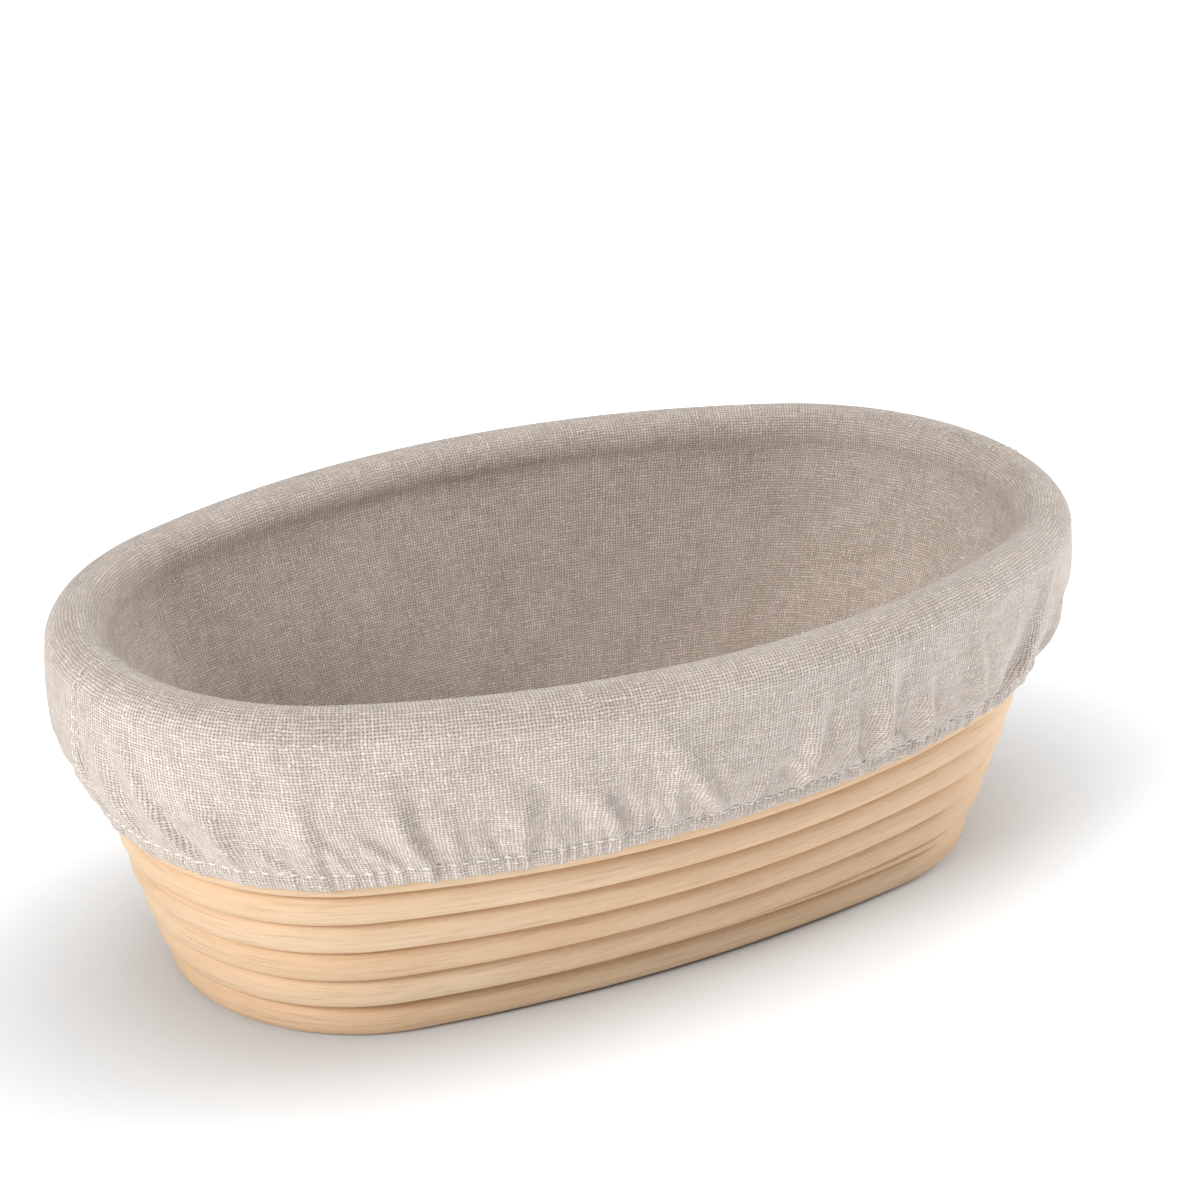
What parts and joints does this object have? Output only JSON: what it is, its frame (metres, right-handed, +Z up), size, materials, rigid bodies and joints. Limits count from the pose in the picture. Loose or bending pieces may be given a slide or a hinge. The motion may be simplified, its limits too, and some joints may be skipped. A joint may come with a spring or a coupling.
{
  "type": "proofing basket",
  "caption": "Oval bread proofing basket wound from round cane, with a removable cloth liner that folds over the rim and is gathered by an elastic hem.",
  "frame": {"origin": "centre of the footprint, on the surface that the basket stands on", "axes": "+X along the basket's length, +Y from front to back, +Z up"},
  "size_m": [0.254, 0.1548, 0.0899],
  "materials": {
    "cane": "bare peeled rattan with fine fibres along its length, dull",
    "wire": "plated steel wire",
    "liner_cloth": "natural undyed linen and cotton, plain weave",
    "elastic": "braided white elastic",
    "thread": "spun sewing thread"
  },
  "bodies": {
    "basket": {"base_core": "cane", "base_coil": "cane", "wall_cane_lower": "cane", "wall_cane_middle": "cane", "wall_cane_upper": "cane", "rim_hoop": "cane", "base_brads": "wire", "wall_brads": "wire", "rim_brads": "wire", "floor_staples": "wire"},
    "liner": {"liner_floor": "liner_cloth", "liner_wall_front": "liner_cloth", "liner_wall_back": "liner_cloth", "liner_skirt_front": "liner_cloth", "liner_skirt_back": "liner_cloth", "hem_elastic": "elastic", "hem_thread": "thread", "floor_seam_thread": "thread", "end_seam_thread_left": "thread", "end_seam_thread_right": "thread"}
  },
  "joints": [
    {"name": "liner_lift", "type": "slide", "parent": "basket", "child": "liner", "axis": [0, 0, 1], "range_m": [0, 0.1], "deforming": ["liner_skirt_front", "liner_skirt_back", "hem_elastic", "hem_thread", "end_seam_thread_left", "end_seam_thread_right"]}
  ]
}
